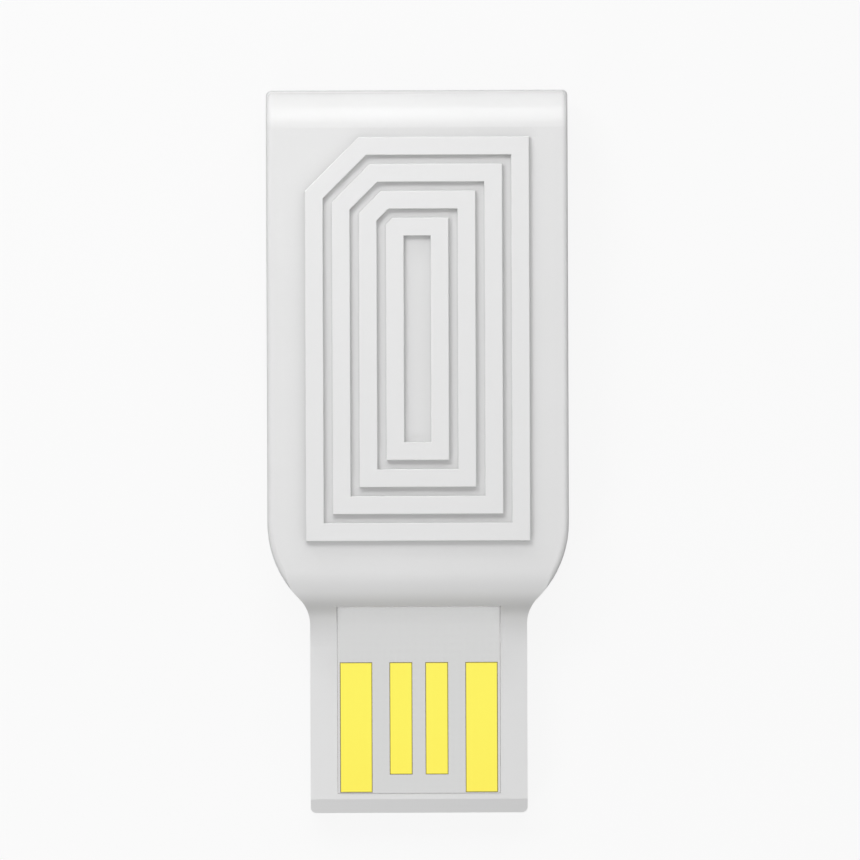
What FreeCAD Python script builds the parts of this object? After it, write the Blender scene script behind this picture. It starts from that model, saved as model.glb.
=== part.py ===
"""Slim wireless adapter with a plug in one piece with its case.

The part lies on its flat back. X runs across the case, Y along it with the rounded end at +Y
and the plug's tip at -Y, and Z is its thickness with the contacts facing +Z. The origin is at
the middle of the back. Lengths are in millimetres.
"""
import FreeCAD, Part
import math
import os
import Sketcher
from FreeCAD import Vector

document = FreeCAD.newDocument("wireless_adapter")
sheet = document.addObject("Spreadsheet::Sheet", "sizes")
place_sheet = document.addObject("Spreadsheet::Sheet", "places")
place_names = []

# Driving dimensions

driving_sizes = [
    # Outline of the case, seen from the front
    ("overall_length", 40.3),
    ("body_width", 16.8),
    ("edge_round", 0.3),
    ("shoulder_from_neck", 2.7),
    ("shoulder_radius", 6.0),
    ("shoulder_foot_radius", 2.0),
    # Plug, from its tip to the window that shows the contacts
    ("plug_width", 12.1),
    ("plug_thickness", 2.2),
    ("tip_corner_extra", 0.02),
    ("tip_chamfer_run", 0.77),
    ("tip_chamfer_depth", 0.35),
    ("tip_flat", 0.32),
    # Contacts: the outer two are wider, and start nearer to the tip than the inner two
    ("outer_contact_width", 1.72),
    ("outer_contact_length", 7.18),
    ("outer_contact_pitch", 7.0),
    ("inner_contact_width", 1.19),
    ("inner_contact_setback", 1.0),
    ("inner_contact_pitch", 2.0),
    ("contact_thickness", 0.06),
    ("mask_depth", 0.04),
    ("mask_margin", 0.04),
    # Window, and the tongue of the circuit board that fills it
    ("tongue_gap", 0.01),
    ("tongue_end_web", 0.04),
    ("tongue_side_web", 0.133),
    ("window_past_contacts", 3.12),
    ("window_side_draft", 3.0),
    ("window_end_draft", 2.5),
    # Neck: two equal arcs from the front face down to the plug
    ("neck_past_window", 2.02),
    ("neck_length", 4.2),
    ("neck_wall", 0.7),
    # Relief on the front face
    ("relief_side_margin", 2.15),
    ("relief_end_margin", 0.53),
    ("relief_neck_margin", 1.67),
    ("relief_height", 0.35),
    ("relief_corner_cut", 3.0),
    ("relief_edge_round", 0.04),
    ("ridge_width", 1.0),
    ("groove_width", 0.5),
    ("least_core_width", 1.0),
    # Walls and the joint between the two covers
    ("parting_gap", 0.05),
    ("cover_wall", 0.8),
    ("end_wall", 1.2),
    ("lip_thickness", 0.6),
    ("lip_height", 0.7),
    ("fit_clearance", 0.05),
    # Circuit board, what carries it and the room over its components
    ("board_thickness", 0.8),
    ("board_proud", 0.03),
    ("board_gap", 0.25),
    ("board_corner_radius", 0.6),
    ("bed_height", 0.43),
    ("ledge_width", 0.6),
    ("headroom", 0.17),
    # Posts that locate the board between the covers
    ("post_diameter", 1.2),
    ("post_reach", 0.77),
    ("post_lead", 0.2),
    ("post_inset", 1.3),
    ("boss_diameter", 2.2),
    # Columns of components on the board
    ("column_inset", 1.45),
    ("pair_spacing", 1.3),
    # Two-ended components
    ("small_length", 1.0),
    ("small_width", 0.5),
    ("small_height", 0.5),
    ("large_length", 1.6),
    ("large_width", 0.8),
    ("large_height", 0.8),
    ("antenna_length", 5.0),
    ("antenna_width", 2.0),
    ("antenna_height", 0.9),
    ("terminal_share", 0.22),
    ("terminal_proud", 0.02),
    # Flat chips
    ("radio_side", 4.0),
    ("radio_height", 0.85),
    ("memory_length", 3.0),
    ("memory_width", 2.0),
    ("memory_height", 0.55),
    ("land_pitch", 0.5),
    ("land_width", 0.25),
    ("land_length", 0.4),
    ("land_height", 0.05),
    ("dimple_diameter", 0.5),
    ("dimple_depth", 0.05),
    # Leaded chips
    ("leaded_length", 2.9),
    ("leaded_width", 1.6),
    ("leaded_height", 1.0),
    ("leaded_lift", 0.1),
    ("leaded_draft", 6.0),
    ("lead_reach", 0.6),
    ("lead_foot", 0.4),
    ("lead_thickness", 0.13),
    ("lead_width", 0.4),
    ("lead_pitch", 0.95),
    # Crystal
    ("crystal_length", 2.5),
    ("crystal_width", 2.0),
    ("crystal_base_height", 0.5),
    ("crystal_lid_height", 0.2),
    ("crystal_lid_inset", 0.15),
    ("crystal_lid_round", 0.3),
]


def write_row(target, row, alias, content):
    target.set("A%d" % row, alias.replace("_", " "))
    target.set("B%d" % row, content)
    target.setAlias("B%d" % row, alias)


for sheet_row, (size_name, number) in enumerate(driving_sizes, start=1):
    write_row(sheet, sheet_row, size_name, str(number))
document.recompute()


class Length:
    """A length with its value and the formula that gives it from the sheets."""

    def __init__(self, value, formula):
        self.value = value
        self.formula = formula

    def joined(self, other, sign, total):
        if not isinstance(other, Length):
            other = Length(float(other), repr(float(other)))
        return Length(total(self.value, other.value), "(%s %s %s)" % (self.formula, sign, other.formula))

    def __add__(self, other):
        return self.joined(other, "+", lambda a, b: a + b)

    def __sub__(self, other):
        return self.joined(other, "-", lambda a, b: a - b)

    def __mul__(self, other):
        return self.joined(other, "*", lambda a, b: a * b)

    def __truediv__(self, other):
        return self.joined(other, "/", lambda a, b: a / b)

    def __neg__(self):
        return Length(-self.value, "(0 - %s)" % self.formula)


def size(alias):
    return Length(float(sheet.get(alias)), "sizes." + alias)


def place(alias, length):
    """Keep a length that is worked out from others in the second sheet, under a name of its own."""
    write_row(place_sheet, len(place_names) + 1, alias, "=" + length.formula)
    place_names.append(alias)
    return Length(length.value, "places." + alias)


def tangent_of(alias):
    return Length(math.tan(math.radians(size(alias).value)), "tan(sizes.%s * 1 deg)" % alias)


zero = Length(0.0, "0")


# Places shared by the pieces: along the case, across it, and through its thickness

tip_y = place("tip_along", -size("overall_length") / 2)
end_y = place("end_along", size("overall_length") / 2)
window_low_y = place("window_low", tip_y + size("tip_chamfer_run") + size("tip_flat"))
tongue_tip_y = place("tongue_tip", window_low_y + size("tongue_gap"))
contact_low_y = place("contact_low", tongue_tip_y + size("tongue_end_web") + size("mask_margin"))
contact_far_y = place("contact_far", contact_low_y + size("outer_contact_length"))
window_high_y = place("window_high", contact_far_y + size("window_past_contacts"))
neck_start_y = place("neck_start", window_high_y + size("neck_past_window"))
shoulder_y = place("shoulder_along", neck_start_y + size("shoulder_from_neck"))

body_side = place("body_side", size("body_width") / 2)
plug_side = place("plug_side", size("plug_width") / 2)
contact_side = (size("outer_contact_pitch") + size("outer_contact_width")) / 2
tongue_side = place("tongue_side", contact_side + size("mask_margin") + size("tongue_side_web"))
window_side = place("window_side", tongue_side + size("tongue_gap"))

plug_z = size("plug_thickness")
board_top_z = place("board_top", plug_z + size("board_proud"))
board_bottom_z = place("board_bottom", board_top_z - size("board_thickness"))
contact_floor_z = place("contact_floor", board_top_z - size("mask_depth"))
parting_z = place("parting", board_bottom_z - size("bed_height"))
front_low_z = place("front_low", parting_z + size("parting_gap"))
ceiling_z = place("ceiling", board_top_z + size("leaded_height") + size("headroom"))
face_z = place("front_face", ceiling_z + size("cover_wall"))
post_top_z = place("post_top", board_top_z + size("post_reach"))
end_radius = place("end_radius", face_z / 2)
margin = face_z

cavity_side = place("cavity_side", body_side - size("cover_wall"))
cavity_low_y = place("cavity_low", neck_start_y + size("neck_wall"))
cavity_end_y = place("cavity_end", end_y - size("end_wall"))
lip_inset = size("fit_clearance") + size("lip_thickness")
board_inset = place("board_inset", lip_inset + size("board_gap"))
board_side = place("board_side", cavity_side - board_inset)
board_low_y = place("board_low", cavity_low_y + board_inset)
board_end_y = place("board_end", cavity_end_y - board_inset)
post_side = place("post_side", board_side - size("post_inset"))
post_places = [
    (-post_side, place("end_post", board_end_y - size("post_inset"))),
    (post_side, place("neck_post", board_low_y + size("post_inset"))),
]

# Each contact's name, place across, width and low end
contacts = []
for contact_label, pair, side in (("contact_power", "outer", 1), ("contact_data_minus", "inner", 1),
                                  ("contact_data_plus", "inner", -1), ("contact_ground", "outer", -1)):
    contact_start_y = contact_low_y
    if pair == "inner":
        contact_start_y = contact_low_y + size("inner_contact_setback")
    contacts.append((contact_label, size(pair + "_contact_pitch") / 2 * side,
                     size(pair + "_contact_width"), contact_start_y))
document.recompute()


# Tools for sketches and features

def bind(item, name, length):
    item.setExpression(name, length.formula)


def worth(length):
    return length.value


def new_body(label):
    body = document.addObject("PartDesign::Body", label)
    body.Label = label
    return body


def origin_feature(body, role):
    return [feature for feature in body.Origin.OriginFeatures if feature.Role == role][0]


class Drawing:
    """A sketch on one of its body's own planes, with every point dimensioned from the origin."""

    def __init__(self, body, name, role="XY_Plane", offset=None):
        self.sketch = body.newObject("Sketcher::SketchObject", name)
        self.sketch.AttachmentSupport = [(origin_feature(body, role), "")]
        self.sketch.MapMode = "FlatFace"
        if offset is not None:
            self.sketch.AttachmentOffset = FreeCAD.Placement(Vector(0, 0, offset.value), FreeCAD.Rotation())
            self.sketch.setExpression(".AttachmentOffset.Base.z", offset.formula)

    def constrain(self, *terms):
        return self.sketch.addConstraint(Sketcher.Constraint(*terms))

    def driven(self, kind, terms, length):
        index = self.constrain(kind, *terms, length.value)
        self.sketch.setExpression("Constraints[%d]" % index, length.formula)

    def set_x(self, curve, point, length):
        """Dimension a point's distance from the vertical axis, on its own side of it."""
        if abs(length.value) < 1e-9:
            self.constrain("PointOnObject", curve, point, -2)
        elif length.value > 0:
            self.driven("DistanceX", (-1, 1, curve, point), length)
        else:
            self.driven("DistanceX", (curve, point, -1, 1), -length)

    def set_y(self, curve, point, length):
        """Dimension a point's distance from the horizontal axis, on its own side of it."""
        if abs(length.value) < 1e-9:
            self.constrain("PointOnObject", curve, point, -1)
        elif length.value > 0:
            self.driven("DistanceY", (-1, 1, curve, point), length)
        else:
            self.driven("DistanceY", (curve, point, -1, 1), -length)

    def line(self, start, end):
        return self.sketch.addGeometry(Part.LineSegment(Vector(*start, 0), Vector(*end, 0)), False)

    def arc(self, centre, radius, first_angle, last_angle):
        circle = Part.Circle(Vector(*centre, 0), Vector(0, 0, 1), radius)
        return self.sketch.addGeometry(Part.ArcOfCircle(circle, first_angle, last_angle), False)

    def circle(self, x, y, diameter):
        curve = self.sketch.addGeometry(Part.Circle(Vector(x.value, y.value, 0), Vector(0, 0, 1),
                                                    diameter.value / 2), False)
        self.set_x(curve, 3, x)
        self.set_y(curve, 3, y)
        self.driven("Diameter", (curve,), diameter)

    def polygon(self, corners):
        """A closed outline of straight lines whose corners are all dimensioned."""
        points = [(x.value, y.value) for x, y in corners]
        lines = [self.line(points[i], points[(i + 1) % len(points)]) for i in range(len(points))]
        for i, line in enumerate(lines):
            self.constrain("Coincident", lines[i - 1], 2, line, 1)
        for line, (x, y) in zip(lines, corners):
            self.set_x(line, 1, x)
            self.set_y(line, 1, y)
        return lines

    def rectangle(self, left, right, low, high):
        """A rectangle held by its level and upright sides and two of its corners."""
        points = [(left.value, low.value), (right.value, low.value),
                  (right.value, high.value), (left.value, high.value)]
        lines = [self.line(points[i], points[(i + 1) % 4]) for i in range(4)]
        for i, line in enumerate(lines):
            self.constrain("Coincident", lines[i - 1], 2, line, 1)
            self.constrain("Horizontal" if i % 2 == 0 else "Vertical", line)
        self.set_x(lines[0], 1, left)
        self.set_y(lines[0], 1, low)
        self.set_x(lines[2], 1, right)
        self.set_y(lines[2], 1, high)


def pad(body, drawing, name, length, downward=False):
    """Thicken a drawing away from its plane, or back from it where it is downward."""
    feature = body.newObject("PartDesign::Pad", name)
    feature.Profile = drawing.sketch
    feature.Reversed = downward
    feature.setExpression("Length", length.formula)
    body.Tip = feature
    return feature


def pocket(body, drawing, name, length=None, upward=False, both_ways=False):
    """Cut a drawing into the solid, by a length or right through it."""
    feature = body.newObject("PartDesign::Pocket", name)
    feature.Profile = drawing.sketch
    feature.Reversed = upward
    if both_ways:
        feature.SideType = "Symmetric"
    if length is None:
        feature.Type = "ThroughAll"
    else:
        feature.setExpression("Length", length.formula)
    body.Tip = feature
    return feature


def edges_where(feature, wanted):
    """Names of the edges of a feature whose mid point, start and end the test accepts."""
    names = []
    for index, edge in enumerate(feature.Shape.Edges, start=1):
        middle = edge.valueAt((edge.FirstParameter + edge.LastParameter) / 2)
        if wanted(middle, edge):
            names.append("Edge%d" % index)
    if not names:
        raise RuntimeError("no edge of %s answers the test" % feature.Label)
    return names


def round_edges(body, feature, name, radius, wanted):
    document.recompute()
    rounding = body.newObject("PartDesign::Fillet", name)
    rounding.Base = (feature, edges_where(feature, wanted))
    rounding.setExpression("Radius", radius.formula)
    body.Tip = rounding
    return rounding


def bevel_edges(body, feature, name, leg, wanted):
    document.recompute()
    bevel = body.newObject("PartDesign::Chamfer", name)
    bevel.Base = (feature, edges_where(feature, wanted))
    bevel.setExpression("Size", leg.formula)
    body.Tip = bevel
    return bevel


same_place = 1e-4


def near(first, second):
    return abs(first - second) < same_place


def upright(edge):
    return abs(edge.tangentAt(edge.FirstParameter).z) > 0.9


def along_x(edge):
    direction = edge.tangentAt(edge.FirstParameter)
    return edge.Curve.TypeId == "Part::GeomLine" and abs(direction.x) > 0.999


# The two moulded covers

def draw_cover_outline(body, offset):
    """The case seen from the front: plug, shoulders and straight sides, each arc tangent to the next."""
    drawing = Drawing(body, body.Label + "_outline", offset=offset)
    corner_radius = size("edge_round") + size("tip_corner_extra")
    corner = corner_radius.value
    foot = size("shoulder_foot_radius").value
    shoulder = size("shoulder_radius").value
    shoulder_x = body_side.value - shoulder
    foot_x = plug_side.value + foot
    foot_y = shoulder_y.value - math.sqrt((shoulder + foot) ** 2 - (foot_x - shoulder_x) ** 2)
    turn = math.atan2(foot_y - shoulder_y.value, foot_x - shoulder_x)
    corner_x = plug_side.value - corner
    corner_y = tip_y.value + corner

    tip_line = drawing.line((-corner_x, tip_y.value), (corner_x, tip_y.value))
    right_corner = drawing.arc((corner_x, corner_y), corner, -math.pi / 2, 0)
    right_plug = drawing.line((plug_side.value, corner_y), (plug_side.value, foot_y))
    right_foot = drawing.arc((foot_x, foot_y), foot, turn + math.pi, math.pi)
    right_shoulder = drawing.arc((shoulder_x, shoulder_y.value), shoulder, turn, 0)
    right_side = drawing.line((body_side.value, shoulder_y.value), (body_side.value, end_y.value))
    end_line = drawing.line((body_side.value, end_y.value), (-body_side.value, end_y.value))
    left_side = drawing.line((-body_side.value, end_y.value), (-body_side.value, shoulder_y.value))
    left_shoulder = drawing.arc((-shoulder_x, shoulder_y.value), shoulder, math.pi, math.pi - turn)
    left_foot = drawing.arc((-foot_x, foot_y), foot, 0, -turn)
    left_plug = drawing.line((-plug_side.value, foot_y), (-plug_side.value, corner_y))
    left_corner = drawing.arc((-corner_x, corner_y), corner, math.pi, 3 * math.pi / 2)

    drawing.constrain("Tangent", tip_line, 2, right_corner, 1)
    drawing.constrain("Tangent", right_corner, 2, right_plug, 1)
    drawing.constrain("Tangent", right_plug, 2, right_foot, 2)
    drawing.constrain("Tangent", right_foot, 1, right_shoulder, 1)
    drawing.constrain("Tangent", right_shoulder, 2, right_side, 1)
    drawing.constrain("Coincident", right_side, 2, end_line, 1)
    drawing.constrain("Coincident", end_line, 2, left_side, 1)
    drawing.constrain("Tangent", left_side, 2, left_shoulder, 1)
    drawing.constrain("Tangent", left_shoulder, 2, left_foot, 2)
    drawing.constrain("Tangent", left_foot, 1, left_plug, 1)
    drawing.constrain("Tangent", left_plug, 2, left_corner, 1)
    drawing.constrain("Tangent", left_corner, 2, tip_line, 1)
    for level in (tip_line, end_line):
        drawing.constrain("Horizontal", level)
    for upright in (right_plug, right_side, left_side, left_plug):
        drawing.constrain("Vertical", upright)
    for right, left, radius in ((right_corner, left_corner, corner_radius),
                                (right_foot, left_foot, size("shoulder_foot_radius")),
                                (right_shoulder, left_shoulder, size("shoulder_radius"))):
        drawing.driven("Radius", (right,), radius)
        drawing.driven("Radius", (left,), radius)
    drawing.set_y(tip_line, 1, tip_y)
    drawing.set_y(end_line, 1, end_y)
    drawing.set_x(right_plug, 1, plug_side)
    drawing.set_x(left_plug, 1, -plug_side)
    drawing.set_x(right_side, 1, body_side)
    drawing.set_x(left_side, 1, -body_side)
    drawing.set_y(right_shoulder, 2, shoulder_y)
    drawing.set_y(left_shoulder, 1, shoulder_y)
    return drawing


def draw_round_end(body):
    """What is cut away round the half circle at the end of the case, seen from its side."""
    drawing = Drawing(body, body.Label + "_round_end", "YZ_Plane")
    arc_y = end_y - end_radius
    arc = drawing.arc((arc_y.value, end_radius.value), end_radius.value, -math.pi / 2, math.pi / 2)
    corners = [(arc_y, face_z), (arc_y, face_z + margin), (end_y + margin, face_z + margin),
               (end_y + margin, -margin), (arc_y, -margin), (arc_y, zero)]
    points = [(y.value, z.value) for y, z in corners]
    lines = [drawing.line(points[i], points[i + 1]) for i in range(len(points) - 1)]
    drawing.constrain("Coincident", arc, 2, lines[0], 1)
    for first, second in zip(lines, lines[1:]):
        drawing.constrain("Coincident", first, 2, second, 1)
    drawing.constrain("Coincident", lines[-1], 2, arc, 1)
    for index, kind in enumerate(("Vertical", "Horizontal", "Vertical", "Horizontal", "Vertical")):
        drawing.constrain(kind, lines[index])
    drawing.set_x(arc, 3, arc_y)
    drawing.set_y(arc, 3, end_radius)
    drawing.constrain("Vertical", arc, 3, arc, 1)
    drawing.constrain("Vertical", arc, 3, arc, 2)
    drawing.driven("Radius", (arc,), end_radius)
    drawing.set_y(lines[1], 1, face_z + margin)
    drawing.set_x(lines[1], 2, end_y + margin)
    drawing.set_y(lines[3], 1, -margin)
    return drawing


def cover_blank(body, low_z, high_z, outer_z):
    """The moulding's outer form between two heights, with its edge rounded at the outer face."""
    pad(body, draw_cover_outline(body, low_z), body.Label + "_blank", high_z - low_z)
    rounded = pocket(body, draw_round_end(body), body.Label + "_end", both_ways=True)
    side_x = body_side.value

    def on_rim(middle, edge):
        on_face = near(middle.z, outer_z.value) and not along_x(edge)
        on_end = near(abs(middle.x), side_x) and edge.Curve.TypeId == "Part::GeomCircle"
        at_tip = near(middle.z, outer_z.value) and near(middle.y, tip_y.value)
        return on_face or on_end or at_tip

    round_edges(body, rounded, body.Label + "_edge_round", size("edge_round"), on_rim)


def draw_neck(body):
    """What is cut away above the neck, the plug's face and its tip, seen from the side."""
    drawing = Drawing(body, "front_cover_neck", "YZ_Plane")
    drop = face_z.value - plug_z.value
    run = size("neck_length").value
    radius = (run ** 2 + drop ** 2) / (4 * drop)
    turn = 2 * math.atan2(drop, run)
    foot_y = neck_start_y - size("neck_length")
    flat_y = tip_y + size("tip_chamfer_run")
    nose_z = plug_z - size("tip_chamfer_depth")
    top_z = face_z + margin
    clear_y = tip_y - margin

    start = drawing.line((neck_start_y.value, top_z.value), (neck_start_y.value, face_z.value))
    brow = drawing.arc((neck_start_y.value, face_z.value - radius), radius, math.pi / 2, math.pi / 2 + turn)
    hollow = drawing.arc((foot_y.value, plug_z.value + radius), radius, -math.pi / 2, -math.pi / 2 + turn)
    flat = drawing.line((foot_y.value, plug_z.value), (flat_y.value, plug_z.value))
    chamfer = drawing.line((flat_y.value, plug_z.value), (tip_y.value, nose_z.value))
    nose = drawing.line((tip_y.value, nose_z.value), (clear_y.value, nose_z.value))
    outside = drawing.line((clear_y.value, nose_z.value), (clear_y.value, top_z.value))
    top = drawing.line((clear_y.value, top_z.value), (neck_start_y.value, top_z.value))

    drawing.constrain("Coincident", start, 2, brow, 1)
    drawing.constrain("Tangent", brow, 2, hollow, 2)
    drawing.constrain("Tangent", hollow, 1, flat, 1)
    drawing.constrain("Coincident", flat, 2, chamfer, 1)
    drawing.constrain("Coincident", chamfer, 2, nose, 1)
    drawing.constrain("Coincident", nose, 2, outside, 1)
    drawing.constrain("Coincident", outside, 2, top, 1)
    drawing.constrain("Coincident", top, 2, start, 1)
    drawing.constrain("Equal", brow, hollow)
    drawing.constrain("Vertical", brow, 3, brow, 1)
    for level in (flat, nose, top):
        drawing.constrain("Horizontal", level)
    for upright in (start, outside):
        drawing.constrain("Vertical", upright)
    drawing.set_x(start, 2, neck_start_y)
    drawing.set_y(start, 2, face_z)
    drawing.set_x(hollow, 1, foot_y)
    drawing.set_y(hollow, 1, plug_z)
    drawing.set_x(chamfer, 1, flat_y)
    drawing.set_x(chamfer, 2, tip_y)
    drawing.set_y(chamfer, 2, nose_z)
    drawing.set_x(outside, 1, clear_y)
    drawing.set_y(start, 1, top_z)
    return drawing


def draw_rings(body):
    """Nested rectangles, each an even step inside the last, with one corner cut off at 45 degrees.

    There are as many as leave a core of the least width inside them. A parallel step inside a
    45 degree corner shortens its leg by 2 - sqrt(2) of the step.
    """
    drawing = Drawing(body, "front_cover_rings", offset=face_z)
    leg_loss = 2 - math.sqrt(2)
    high_y = end_y - end_radius - size("relief_end_margin")
    low_y = neck_start_y + size("relief_neck_margin")
    half_width = body_side - size("relief_side_margin")
    pitch = size("ridge_width") + size("groove_width")
    room = half_width - size("ridge_width") - size("least_core_width") / 2
    for ring in range(1 + int(room.value / pitch.value)):
        for step in (pitch * ring, pitch * ring + size("ridge_width")):
            leg = size("relief_corner_cut") - step * leg_loss
            left, right = step - half_width, half_width - step
            low, high = low_y + step, high_y - step
            if leg.value > size("relief_edge_round").value * 2:
                drawing.polygon([(left, low), (right, low), (right, high), (left + leg, high),
                                 (left, high - leg)])
            else:
                drawing.rectangle(left, right, low, high)
    return drawing


def draw_rectangle(body, name, offset, left, right, low, high):
    drawing = Drawing(body, name, offset=offset)
    drawing.rectangle(left, right, low, high)
    return drawing


def draw_posts(body, name, offset, diameter):
    drawing = Drawing(body, name, offset=offset)
    for x, y in post_places:
        drawing.circle(x, y, diameter)
    return drawing


def draw_inside(body, name, offset, *insets):
    """Outlines parallel to the inside of the case, which is shut off at the neck's wall."""
    drawing = Drawing(body, name, offset=offset)
    for inset in insets:
        side = cavity_side - inset
        low = cavity_low_y + inset
        high = cavity_end_y - inset
        radius = size("shoulder_radius") - size("cover_wall") - inset
        centre_x = body_side - size("shoulder_radius")
        turn = math.asin((low.value - shoulder_y.value) / radius.value)
        foot_x = centre_x.value + radius.value * math.cos(turn)

        floor = drawing.line((-foot_x, low.value), (foot_x, low.value))
        right_arc = drawing.arc((centre_x.value, shoulder_y.value), radius.value, turn, 0)
        right_side = drawing.line((side.value, shoulder_y.value), (side.value, high.value))
        roof = drawing.line((side.value, high.value), (-side.value, high.value))
        left_side = drawing.line((-side.value, high.value), (-side.value, shoulder_y.value))
        left_arc = drawing.arc((-centre_x.value, shoulder_y.value), radius.value, math.pi, math.pi - turn)
        drawing.constrain("Coincident", floor, 2, right_arc, 1)
        drawing.constrain("Tangent", right_arc, 2, right_side, 1)
        drawing.constrain("Coincident", right_side, 2, roof, 1)
        drawing.constrain("Coincident", roof, 2, left_side, 1)
        drawing.constrain("Tangent", left_side, 2, left_arc, 1)
        drawing.constrain("Coincident", left_arc, 2, floor, 1)
        for level in (floor, roof):
            drawing.constrain("Horizontal", level)
        for upright in (right_side, left_side):
            drawing.constrain("Vertical", upright)
        for arc, x in ((right_arc, centre_x), (left_arc, -centre_x)):
            drawing.set_x(arc, 3, x)
            drawing.set_y(arc, 3, shoulder_y)
            drawing.driven("Radius", (arc,), radius)
        drawing.set_y(floor, 1, low)
        drawing.set_y(roof, 1, high)
    return drawing


def make_front_cover():
    body = new_body("front_cover")
    cover_blank(body, front_low_z, face_z, face_z)
    pocket(body, draw_neck(body), "front_cover_neck_cut", both_ways=True)

    # Relief on the face, its crisp edges just broken
    relief = pad(body, draw_rings(body), "ring_relief", size("relief_height"))
    relief_z = (face_z + size("relief_height")).value
    round_edges(body, relief, "relief_edges", size("relief_edge_round"),
                lambda middle, edge: near(middle.z, relief_z))

    # Inside: room for the components, and the slot that the board's tongue lies in
    cavity = pocket(body, draw_inside(body, "cavity_outline", front_low_z, zero), "cavity",
                    ceiling_z - front_low_z, upward=True)
    round_edges(body, cavity, "cavity_end_round", end_radius - size("cover_wall"),
                lambda middle, edge: near(middle.z, ceiling_z.value) and near(middle.y, cavity_end_y.value))
    slot = draw_rectangle(body, "tongue_slot_outline", front_low_z, -window_side, window_side,
                          window_low_y, board_low_y)
    pocket(body, slot, "tongue_slot", board_top_z - front_low_z, upward=True)

    # Window over the contacts: upright below the plug's face, drafted where the neck rises round it
    window = draw_rectangle(body, "window_outline", front_low_z, -window_side, window_side,
                            window_low_y, window_high_y)
    pocket(body, window, "window", plug_z - front_low_z, upward=True)
    lower = draw_rectangle(body, "window_foot", plug_z, -window_side, window_side,
                           window_low_y, window_high_y)
    rise = face_z - plug_z
    mouth_side = window_side + rise * tangent_of("window_side_draft")
    upper = draw_rectangle(body, "window_mouth", face_z, -mouth_side, mouth_side,
                           window_low_y, window_high_y + rise * tangent_of("window_end_draft"))
    draft = body.newObject("PartDesign::SubtractiveLoft", "window_draft")
    draft.Profile = lower.sketch
    draft.Sections = [upper.sketch]
    draft.Ruled = True
    body.Tip = draft

    # Bosses that press the board down round the posts
    pad(body, draw_posts(body, "boss_outlines", board_top_z, size("boss_diameter")), "bosses",
        ceiling_z - board_top_z)
    sockets = draw_posts(body, "socket_outlines", board_top_z, size("post_diameter") + size("fit_clearance"))
    pocket(body, sockets, "post_sockets", post_top_z + size("fit_clearance") - board_top_z, upward=True)


def make_rear_cover():
    body = new_body("rear_cover")
    cover_blank(body, zero, parting_z, zero)
    chamfer = Drawing(body, "rear_tip", "YZ_Plane")
    chamfer_y = tip_y + size("tip_chamfer_run")
    chamfer.polygon([(chamfer_y, zero), (tip_y, size("tip_chamfer_depth")),
                     (tip_y - margin, size("tip_chamfer_depth")), (tip_y - margin, -margin),
                     (chamfer_y, -margin)])
    pocket(body, chamfer, "rear_tip_chamfer", both_ways=True)

    # Lip that nests inside the front cover, with a gap where the tongue passes
    lip = draw_inside(body, "lip_outline", parting_z, size("fit_clearance"), lip_inset)
    pad(body, lip, "locating_lip", size("lip_height"))
    opening = draw_rectangle(body, "lip_gap_outline", parting_z, -window_side, window_side,
                             cavity_low_y, board_low_y)
    pocket(body, opening, "lip_gap", size("lip_height"), upward=True)

    # Bed under the tongue, and ledges under the board's long edges
    bed_side = window_side - size("fit_clearance")
    bed = draw_rectangle(body, "bed_outline", parting_z, -bed_side, bed_side,
                         window_low_y + size("fit_clearance"), board_low_y)
    pad(body, bed, "tongue_bed", size("bed_height"))
    ledge_outer = board_side - size("fit_clearance")
    ledge_inner = ledge_outer - size("ledge_width")
    ledge_low, ledge_high = shoulder_y + size("ledge_width"), board_end_y - size("fit_clearance")
    ledges = draw_rectangle(body, "ledge_outlines", parting_z, ledge_inner, ledge_outer, ledge_low, ledge_high)
    ledges.rectangle(-ledge_outer, -ledge_inner, ledge_low, ledge_high)
    pad(body, ledges, "board_ledges", size("bed_height"))

    posts = pad(body, draw_posts(body, "post_outlines", parting_z, size("post_diameter")), "posts",
                post_top_z - parting_z)
    bevel_edges(body, posts, "post_lead_in", size("post_lead"),
                lambda middle, edge: near(middle.z, post_top_z.value))


# The circuit board and its contacts

def draw_contact(body, name, x, width, low_y, offset, extra):
    half = width / 2 + extra
    return draw_rectangle(body, name, offset, x - half, x + half, low_y - extra, contact_far_y + extra)


def make_circuit_board():
    body = new_body("circuit_board")
    pad(body, draw_inside(body, "board_outline", board_bottom_z, board_inset), "board_blank",
        size("board_thickness"))
    tongue = draw_rectangle(body, "tongue_outline", board_bottom_z, -tongue_side, tongue_side,
                            tongue_tip_y, board_low_y + size("board_gap"))
    whole = pad(body, tongue, "tongue", size("board_thickness"))
    round_edges(body, whole, "board_corners", size("board_corner_radius"),
                lambda middle, edge: near(middle.y, board_end_y.value) and upright(edge))
    holes = draw_posts(body, "board_holes", board_top_z, size("post_diameter") + size("fit_clearance") * 2)
    pocket(body, holes, "post_holes", size("board_thickness"))

    # Openings in the solder mask, a little wider than the contacts in them
    for label, x, width, low_y in contacts:
        opening = draw_contact(body, label + "_opening", x, width, low_y, board_top_z, size("mask_margin"))
        pocket(body, opening, label + "_mask", size("mask_depth"))


def make_contact(label, x, width, low_y):
    body = new_body(label)
    outline = draw_contact(body, label + "_outline", x, width, low_y, contact_floor_z, zero)
    pad(body, outline, label + "_plate", size("contact_thickness"))


# Components on the board. Each is built on its own origin, and then set down on the board's top.

def set_down(item, x, y, turned):
    """Put a component on the board, turned a quarter where its length runs along the case."""
    if turned:
        item.Placement = FreeCAD.Placement(Vector(), FreeCAD.Rotation(Vector(0, 0, 1), 90))
    bind(item, ".Placement.Base.x", x)
    bind(item, ".Placement.Base.y", y)
    bind(item, ".Placement.Base.z", board_top_z)


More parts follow.
